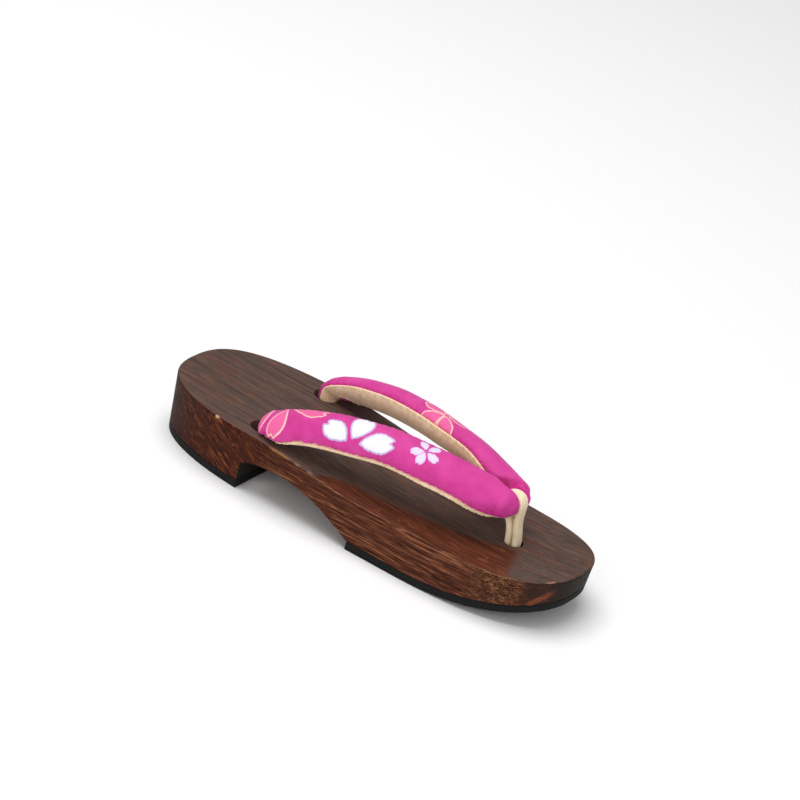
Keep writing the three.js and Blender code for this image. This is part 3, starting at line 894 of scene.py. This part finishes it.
def petal_field(u, v, blossom):
    """Millimetres inside the nearest petal of a blossom: its level over the level's own slope."""
    best = np.full(u.shape, OFF_PRINT)
    step = 0.05
    for petal in blossom["petals"]:
        here, ahead, aside = (petal_level(u + du, v + dv, petal) for du, dv in ((0, 0), (step, 0), (0, step)))
        slope = np.hypot(ahead - here, aside - here) / step
        best = np.maximum(best, here / np.clip(slope, 1, 6))
    return best


def print_blossoms(arms):
    """Lays the blossoms on the cover, by each vertex's distance along the arm and round it from the
    crest. The crest's line is smoothed with a cosine window, so that the prints have even edges."""
    window = np.hanning(41)
    layers = {blossom["layer"]: [] for blossom in BLOSSOMS}
    for side, points, run in arms:
        around = np.cumsum(np.linalg.norm(np.diff(points, axis=1), axis=2), axis=1)
        around = np.concatenate([np.zeros((len(points), 1)), around], 1)
        crest = np.argmax(points[:, :COVER_STEPS, 2], axis=1)
        middle = np.pad(around[np.arange(len(points)), crest], len(window) // 2, mode="edge")
        v = np.convolve(middle, window / window.sum(), mode="valid")[:, None] - around
        u = np.broadcast_to(run[:, None], v.shape)
        for layer, values in layers.items():
            field = np.full(v.shape, OFF_PRINT)
            for blossom in BLOSSOMS:
                if blossom["side"] == side and blossom["layer"] == layer:
                    inside = petal_field(u - blossom["run"], v - blossom["round"], blossom)
                    field = np.maximum(field, inside)
            field[:, COVER_STEPS:] = OFF_PRINT
            values.append(field.reshape(-1))
    return {layer: np.concatenate(values) for layer, values in layers.items()}


def sew_arms(name, node, above, steps, material):
    """Both arms of the cover or of the lining, as one piece that keeps its place along and round."""
    arms = []
    quads = []
    for side in (-1, 1):
        points, run = strap_grid(side, above, steps)
        quads.append(arm_quads(points, side < 0, sum(arm[1].size // 3 for arm in arms)))
        arms.append((side, points, run))
    vertices = np.concatenate([points.reshape(-1, 3) for _, points, _ in arms])
    piece = make_piece(name, vertices, np.concatenate(quads), material, sharp=CLOTH_ANGLE, merge=False)
    if above:
        for layer, values in print_blossoms(arms).items():
            store(piece, layer, values)
    around = np.arange(arms[0][1].shape[1]) * AROUND_STEP * MM
    store(piece, "run", np.concatenate([np.repeat(run, len(around)) for _, _, run in arms]) * MM)
    store(piece, "around", np.concatenate([np.tile(around, len(run)) for _, _, run in arms]))
    fit_piece(piece, node)


# Form of the front thong: along and height of its middle line, and its width as a share
THONG_LINE = np.array([
    [201.6, 9.5, 0.9],
    [201.75, 17.0, 0.95],
    [201.7, 24.5, 1.0],
    [200.9, 29.5, 0.98],
    [199.8, 34.0, 0.96],
    [199.2, 38.0, 1.0],
    [199.2, 42.0, 1.04],
    [199.1, 45.5, 1.06],
    [197.9, 48.4, 1.06],
    [195.4, 49.7, 1.05],
    [192.4, 49.4, 1.02],
    [190.0, 47.6, 0.95],
    [189.0, 44.6, 0.9],
    [189.3, 41.4, 0.9],
    [191.0, 38.7, 0.92],
    [193.6, 37.2, 0.95],
    [195.6, 34.4, 1.0],
    [196.9, 30.0, 1.06],
    [197.6, 24.5, 1.06],
    [198.0, 17.0, 0.98],
    [198.3, 9.5, 0.9],
])


def loop_thong():
    """A band of folded twill, swept as a rounded rectangle along its line: up the front, over the joint
    and down behind it, with both ends side by side in the front hole."""
    t = np.linspace(0, len(THONG_LINE) - 1, 260)
    line = np.stack([smooth_curve(column, t) for column in THONG_LINE.T], -1)
    centre = np.stack([0 * t, LENGTH / 2 - line[:, 0], line[:, 1]], -1)
    forward = np.gradient(centre, axis=0)
    forward /= np.linalg.norm(forward, axis=1, keepdims=True)
    across = np.tile([1.0, 0, 0], (len(t), 1))
    through = np.cross(forward, across)
    angle = np.linspace(0, 2 * np.pi, 48, endpoint=False)
    power = 2 / 3.6
    flat = np.sign(np.cos(angle)) * np.abs(np.cos(angle)) ** power
    tall = np.sign(np.sin(angle)) * np.abs(np.sin(angle)) ** power
    half_wide = THONG_WIDTH / 2 * line[:, 2:3]
    half_thick = THONG_THICKNESS / 2
    bulge = 1 + 0.07 * np.cos(np.pi * flat)[None, :]
    points = (centre[:, None] + (half_wide * flat)[..., None] * across[:, None]
              + (half_thick * tall * bulge)[..., None] * through[:, None])
    piece = make_piece("front_thong_cloth", points.reshape(-1, 3), arm_quads(points, False, 0), thong_cloth())
    fit_piece(piece, "front_thong")


def smooth_curve(values, at):
    """A Catmull-Rom curve through the values: each slope is set by the two values beside it."""
    i = np.clip(at.astype(int), 0, len(values) - 2)
    t = at - i
    p0, p1 = values[np.maximum(i - 1, 0)], values[i]
    p2, p3 = values[i + 1], values[np.minimum(i + 2, len(values) - 1)]
    return 0.5 * (2 * p1 + (p2 - p0) * t + (2 * p0 - 5 * p1 + 4 * p2 - p3) * t ** 2
                  + (3 * p1 - p0 - 3 * p2 + p3) * t ** 3)


# Materials
def burnt_wood():
    """Light wood, burnt and brushed: the soft early wood is worn down between darker ridges, which leaves
    fine lines along the grain. The tread is a dull grey brown, the heartwood by the near rim and the
    cut sides are redder, with golden flecks where the grain runs out and a curly knot near the toe."""
    material = new_material("burnt_brushed_wood", "#4A372E")
    place = add_node(material, "ShaderNodeTexCoord", {}, out="Object")
    depth, along, heartwood, ridge, wear, bore = (
        add_node(material, STORED, {}, out="Fac", attribute_name=name)
        for name in ("depth", "along", "heartwood", "past_ridge", "wear", "bore")
    )
    lines = grained(material, place, (1.5, 70, 1.5), detail=6, roughness=0.64, distortion=0.5)
    bands = grained(material, place, (7.5, 80, 7.5), detail=3, distortion=0.9, seed=3)
    mottle = grained(material, place, (3.4, 11, 3.4), detail=6, roughness=0.7, distortion=0.6, seed=29)
    hairs = grained(material, place, (0.5, 14, 0.5), detail=3, roughness=0.6, seed=7)
    streaks = grained(material, place, (3, 24, 0.95), detail=6, roughness=0.66, distortion=1.1, seed=11)
    curls = grained(material, place, (2.6, 4.2, 1.5), detail=5, roughness=0.62, distortion=2.6, seed=19)
    flecks = grained(material, place, (2.4, 10, 1.5), detail=6, roughness=0.62, distortion=1.7, seed=23,
                     lean=-32)
    flame = grained(material, place, (6, 26, 5), detail=3, distortion=1.0, seed=17)

    tread = add_node(material, RAMP, {0: lines}, stops=(
        (0.30, "#3B2D2A"), (0.46, "#504039"), (0.60, "#5C4943"), (0.75, "#6C554B"),
    ))
    tread = paint(material, tread, "#613E33", (bands, 0.48, 0.68, 0, 0.6))
    tread = paint(material, tread, "#775140", (mottle, 0.5, 0.66, 0, 0.55))
    tread = paint(material, tread, "#464142", (mottle, 0.47, 0.3, 0, 0.5))
    tread = paint(material, tread, "#7E6655", (hairs, 0.55, 0.72, 0, 0.25))

    red = add_node(material, RAMP, {0: lines}, stops=(
        (0.30, "#38190F"), (0.48, "#542718"), (0.62, "#6A3620"), (0.76, "#8A5438"),
    ))
    red = paint(material, red, "#3A1D14", (streaks, 0.48, 0.34, 0, 0.6))
    red = paint(material, red, "#8E5334", (mottle, 0.54, 0.68, 0, 0.45))
    ragged = add_node(material, MATH, {0: mottle, 1: 6.0, 2: heartwood}, operation="MULTIPLY_ADD")
    tread = paint(material, tread, red, (ragged, 1.6, 6.4))

    fore = add_node(material, RAMP, {0: streaks}, stops=(
        (0.36, "#210E08"), (0.46, "#421D10"), (0.54, "#623523"), (0.62, "#865437"), (0.74, "#B5845A"),
    ))
    curly = add_node(material, RAMP, {0: curls}, stops=(
        (0.38, "#25120C"), (0.48, "#462618"), (0.56, "#6C432B"), (0.68, "#9A6B43"),
    ))
    rear = add_node(material, RAMP, {0: flecks}, stops=(
        (0.42, "#2B1009"), (0.53, "#4A1D0E"), (0.63, "#6C3817"), (0.76, "#A0672E"),
    ))
    fore = paint(material, fore, curly, (along, 194, 208), (along, 229, 219))
    side = paint(material, rear, fore, (along, 62, 100))
    side = paint(material, side, "#3F190D", (flame, 0.47, 0.64, 0, 0.45))
    side = paint(material, side, "#241009", (along, 36, 6, 0, 0.8))
    side = paint(material, side, "#2C1F18", (along, 221, 229, 0, 0.82))
    side = paint(material, side, "#1B1914", (along, 233, 239, 0, 0.75))

    # A red flash that slants up the toe's side
    slant = add_node(material, MATH, {0: along, 1: 0.9, 2: depth}, operation="MULTIPLY_ADD")
    side = paint(material, side, "#8E4C2C", (along, 226, 229), (along, 237, 233.5), (slant, 215.4, 217),
                 (slant, 220.6, 218.8), (curls, 0.36, 0.62, 0.25, 0.85))

    # The side meets the tread at the ridge, which is rubbed pale along the forefoot
    color = paint(material, tread, side, (ridge, -0.35, 0.3))
    color = paint(material, color, "#B08468", (ridge, -0.7, -0.1), (ridge, 0.6, 0.1), (along, 98, 124),
                  (along, 221, 212), (streaks, 0.44, 0.6, 0.1, 0.8))

    # Bare wood at the worn spots
    bare = paint(material, "#9A6B42", "#85695C", (along, 91, 97))
    bare = paint(material, bare, "#D3AC87", (along, 60, 52))
    bare = paint(material, bare, "#A8745F", (along, 200, 210))
    rubbed = add_node(material, MATH, {0: mottle, 1: 0.8, 2: wear}, operation="MULTIPLY_ADD")
    color = paint(material, color, bare, (rubbed, 0.75, 1.15, 0, 0.85), (wear, 0.1, 0.35))

    # Painted shade on the heel block's inner face under the arch, and painted shadow in the holes
    roof = float(top_height(np.array(HEEL_BLOCK))) - ARCH_HEIGHT * ARCH_ROOF[0]
    color = paint(material, color, "#20211E", (along, HEEL_BLOCK - 0.4, HEEL_BLOCK - 0.3),
                  (along, HEEL_BLOCK + 0.4, HEEL_BLOCK + 0.3), (depth, roof, roof + 0.4, 0, 0.9))
    # Painted shadow down the drilled holes: near black within 0.1 to 0.3 mm of a hole's wall
    color = paint(material, color, "#0D0A09", (bore, 0.3, 0.1))

    fine = add_node(material, MATH, {0: hairs, 1: 0.3}, operation="MULTIPLY")
    relief = add_node(material, MATH, {0: lines, 1: 0.7, 2: fine}, operation="MULTIPLY_ADD")
    finish(material, {
        "Base Color": color,
        "Roughness": smooth_mask(material, (lines, 0.3, 0.7, 0.7, 0.56)),
        "Specular IOR Level": 0.1,
        "Normal": add_node(material, BUMP, {"Strength": 1.0, "Height": relief, "Distance": 0.3 * MM}),
    })
    return material


def moulded_rubber():
    """Black outsole rubber, moulded with a fine matt grain, a little green from dust."""
    material = new_material("moulded_outsole_rubber", "#0F1110")
    place = add_node(material, "ShaderNodeTexCoord", {}, out="Object")
    dust = grained(material, place, (9, 9, 4))
    color = add_node(material, RAMP, {0: dust}, stops=((0.35, "#0A0C0B"), (0.6, "#101211"), (0.8, "#191C18")))
    grit = grained(material, place, (0.5, 0.5, 0.5), detail=2)
    finish(material, {
        "Base Color": color,
        "Roughness": 0.8,
        "Specular IOR Level": 0.25,
        "Normal": add_node(material, BUMP, {"Strength": 1.0, "Height": grit, "Distance": 0.08 * MM}),
    })
    return material


# Prints on the cover: the layer, how far inside its edge the outline ends and the middle starts, in
# millimetres, and the colours of both
PRINTS = (
    ("white_print", 0.5, 1.3, "#C4B2E2", "#F7F3FC"),
    ("lilac_print", 0.1, 0.9, "#DDB9EE", "#E9DCFA"),
    ("coral_print", 0.72, 0.9, "#FFC4BC", "#EE62A0"),
)

# Millimetres between the cover's threads, coarser than the real cloth so that they show
THREAD_PITCH = 0.55


def printed_cloth():
    """Printed satin crepe: a close weave with a soft sheen, drawn as crossing waves along the arm and
    round it, with petals printed on it in crisp outlines."""
    material = new_material("printed_satin_crepe", "#C72C86")
    place = add_node(material, "ShaderNodeTexCoord", {}, out="Object")
    shade = grained(material, place, (11, 11, 11), detail=3, seed=5)
    color = add_node(material, RAMP, {0: shade}, stops=((0.3, "#C92888"), (0.5, "#D43394"), (0.7, "#DD3E9D")))
    for layer, start, end, outline, middle in PRINTS:
        inside = add_node(material, STORED, {}, out="Fac", attribute_name=layer)
        petal = paint(material, outline, middle, (inside, start, end))
        color = paint(material, color, petal, (inside, -0.1, 0.12))
    threads = []
    for name in ("run", "around"):
        way = add_node(material, STORED, {}, out="Fac", attribute_name=name)
        turn = add_node(material, MATH, {0: way, 1: 2 * math.pi / (THREAD_PITCH * MM)}, operation="MULTIPLY")
        threads.append(add_node(material, MATH, {0: turn}, operation="SINE"))
    weave = add_node(material, MATH, {0: threads[0], 1: threads[1]}, operation="MULTIPLY")
    finish(material, {
        "Base Color": color,
        "Roughness": 0.5,
        "Sheen Weight": 0.35,
        "Sheen Roughness": 0.4,
        "Sheen Tint": "#FF8CD0",
        "Specular IOR Level": 0.35,
        "Normal": add_node(material, BUMP, {"Strength": 1.0, "Height": weave, "Distance": 0.035 * MM}),
    })
    return material


def lining_cloth():
    """Beige cotton velveteen: a short nap that scatters light at its edges."""
    material = new_material("cotton_velveteen_lining", "#F0D0A8")
    place = add_node(material, "ShaderNodeTexCoord", {}, out="Object")
    nap = grained(material, place, (3, 3, 3), detail=5, seed=2)
    color = add_node(material, RAMP, {0: nap}, stops=((0.3, "#ECC49F"), (0.5, "#F8D5B2"), (0.72, "#FFE2C4")))
    fuzz = grained(material, place, (0.35, 0.35, 0.35), detail=3, seed=4)
    finish(material, {
        "Base Color": color,
        "Roughness": 0.92,
        "Sheen Weight": 0.5,
        "Sheen Roughness": 0.5,
        "Sheen Tint": "#FFF0D0",
        "Normal": add_node(material, BUMP, {"Strength": 1.0, "Height": fuzz, "Distance": 0.12 * MM}),
    })
    return material


def thong_cloth():
    """Cotton twill folded into a band: pale straw, with a fine diagonal rib."""
    material = new_material("cotton_twill_band", "#F2DDB9")
    place = add_node(material, "ShaderNodeTexCoord", {}, out="Object")
    tone = grained(material, place, (4, 4, 6), seed=8)
    stops = ((0.3, "#F4DCB2"), (0.52, "#FCE8C6"), (0.75, "#FFF1D6"))
    color = add_node(material, RAMP, {0: tone}, stops=stops)
    diagonal = (math.radians(45), 0, math.radians(20))
    turned = add_node(material, "ShaderNodeMapping", {"Vector": place, "Rotation": diagonal})
    rib_pitch = 0.6 * MM
    wave = {"Vector": turned, "Scale": 1 / rib_pitch / (2 * math.pi), "Distortion": 0.6, "Detail": 1.0}
    rib = add_node(material, "ShaderNodeTexWave", wave, out="Fac")
    finish(material, {
        "Base Color": color,
        "Roughness": 0.85,
        "Sheen Weight": 0.25,
        "Normal": add_node(material, BUMP, {"Strength": 1.0, "Height": rib, "Distance": 0.07 * MM}),
    })
    return material


aim_camera()
light_studio()
lay_floor()
carve_base()
rubber = moulded_rubber()
mould_outsole("heel_outsole_rubber", "heel_outsole", 0, HEEL_BLOCK, rubber)
mould_outsole("forefoot_outsole_rubber", "forefoot_outsole", FORE_BLOCK, LENGTH, rubber)
sew_arms("strap_cover_cloth", "strap_cover", True, COVER_STEPS, printed_cloth())
sew_arms("strap_lining_cloth", "strap_lining", False, LINING_STEPS, lining_cloth())
loop_thong()
